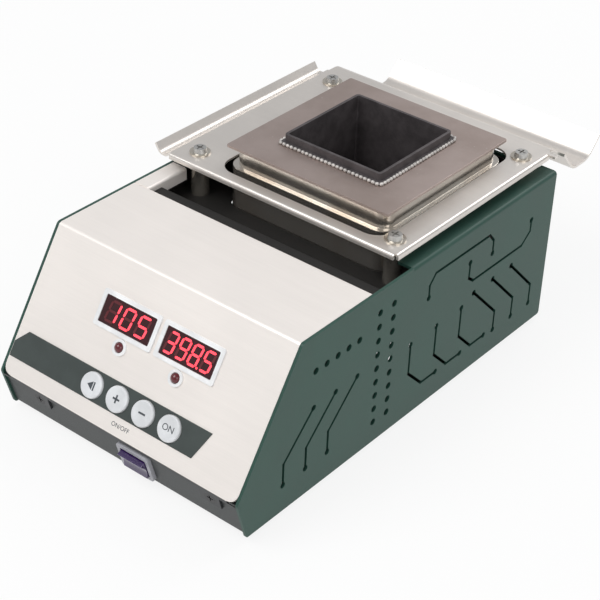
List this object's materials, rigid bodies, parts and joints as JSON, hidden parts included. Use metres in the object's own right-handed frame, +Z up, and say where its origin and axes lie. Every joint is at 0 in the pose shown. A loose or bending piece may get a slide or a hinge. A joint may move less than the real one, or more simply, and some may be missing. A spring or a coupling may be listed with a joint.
{
  "type": "solder pot",
  "caption": "Bench solder pot with a square melting pot in a polished heater shell, drip tray and sloped digital control panel.",
  "frame": {"origin": "middle of the case's flat underside; the rubber feet reach 3 mm below it", "axes": "+Z up, -Y to the control panel (front), +X to the right seen from the front"},
  "size_m": [0.157, 0.2884, 0.1132],
  "materials": {
    "charcoal_paint": "powder coat, satin",
    "green_paint": "powder coat, fine texture",
    "stainless": "brushed stainless sheet",
    "dark_pan": "matt heat-resistant paint",
    "polished_steel": "polished, lightly heat tinted",
    "screw_steel": "zinc plated",
    "black_screw": "black oxide",
    "pot_steel": "dull oxidised steel",
    "heated_steel": "heat-tinted steel",
    "mica": "mica heater, matt",
    "ceramic_wool": "ceramic fibre board",
    "overlay_green": "printed polyester film",
    "key_white": "semi-gloss moulding",
    "black_plastic": "matt moulding",
    "bezel_silver": "silver film",
    "red_window": "tinted acrylic",
    "module_black": "matt moulding",
    "red_led": "tinted epoxy",
    "circuit_board": "solder mask",
    "switch_grey": "satin moulding",
    "rocker_purple": "tinted polycarbonate",
    "core_steel": "laminated steel",
    "copper_coil": "taped winding",
    "anodised_black": "black anodised",
    "terminal_white": "matt moulding",
    "brass": "plain",
    "rubber_black": "matt"
  },
  "bodies": {
    "case": {"base_pan": "charcoal_paint", "side_panel_left": "green_paint", "side_panel_right": "green_paint", "rear_panel": "green_paint", "front_cover": "stainless", "well_pan": "dark_pan", "drip_tray": "stainless", "tray_posts": "polished_steel", "tray_screws": "screw_steel", "tray_washers": "polished_steel", "post_screws": "screw_steel", "pot": "pot_steel", "mounting_plate": "heated_steel", "heater_shell": "polished_steel", "heater_band": "mica", "insulation_sleeve": "ceramic_wool", "insulation_floor": "ceramic_wool", "shell_base": "polished_steel", "shell_legs": "polished_steel", "leg_screws": "screw_steel", "thermocouple": "screw_steel", "key_overlay": "overlay_green", "key_switches": "black_plastic", "display_bezel_left": "bezel_silver", "display_bezel_right": "bezel_silver", "display_window_left": "red_window", "display_window_right": "red_window", "display_module_left": "module_black", "display_module_right": "module_black", "led_holders": "black_plastic", "leds": "red_led", "control_board": "circuit_board", "board_standoffs": "key_white", "board_screws": "screw_steel", "switch_housing": "switch_grey", "transformer_core": "core_steel", "transformer_coil": "copper_coil", "power_board": "circuit_board", "power_board_posts": "screw_steel", "power_board_screws": "screw_steel", "heat_sink": "anodised_black", "power_triac": "black_plastic", "terminal_block": "terminal_white", "mains_inlet": "black_plastic", "inlet_pins": "brass", "inlet_screws": "screw_steel", "inlet_nuts": "screw_steel", "fuse_holder": "black_plastic", "fuse_cap": "black_plastic", "cover_screws": "black_screw", "rear_screws": "screw_steel", "base_screws": "screw_steel", "rubber_feet": "rubber_black", "foot_screws": "screw_steel", "earth_stud": "brass"},
    "key_set": {"key_set": "key_white"},
    "key_plus": {"key_plus": "key_white"},
    "key_minus": {"key_minus": "key_white"},
    "key_on": {"key_on": "key_white"},
    "rocker": {"switch_rocker": "rocker_purple"}
  },
  "joints": [
    {"name": "key_set_press", "type": "slide", "parent": "case", "child": "key_set", "axis": [0, 0.841, -0.5411], "range_m": [0, 0.0008], "stiffness_N_per_m": 250},
    {"name": "key_plus_press", "type": "slide", "parent": "case", "child": "key_plus", "axis": [0, 0.841, -0.5411], "range_m": [0, 0.0008], "stiffness_N_per_m": 250},
    {"name": "key_minus_press", "type": "slide", "parent": "case", "child": "key_minus", "axis": [0, 0.841, -0.5411], "range_m": [0, 0.0008], "stiffness_N_per_m": 250},
    {"name": "key_on_press", "type": "slide", "parent": "case", "child": "key_on", "axis": [0, 0.841, -0.5411], "range_m": [0, 0.0008], "stiffness_N_per_m": 250},
    {"name": "switch_rock", "type": "hinge", "parent": "case", "child": "rocker", "pos_m": [0.0105, -0.11628, 0.01076], "axis": [1, 0, 0], "range_deg": [-18, 0]}
  ]
}
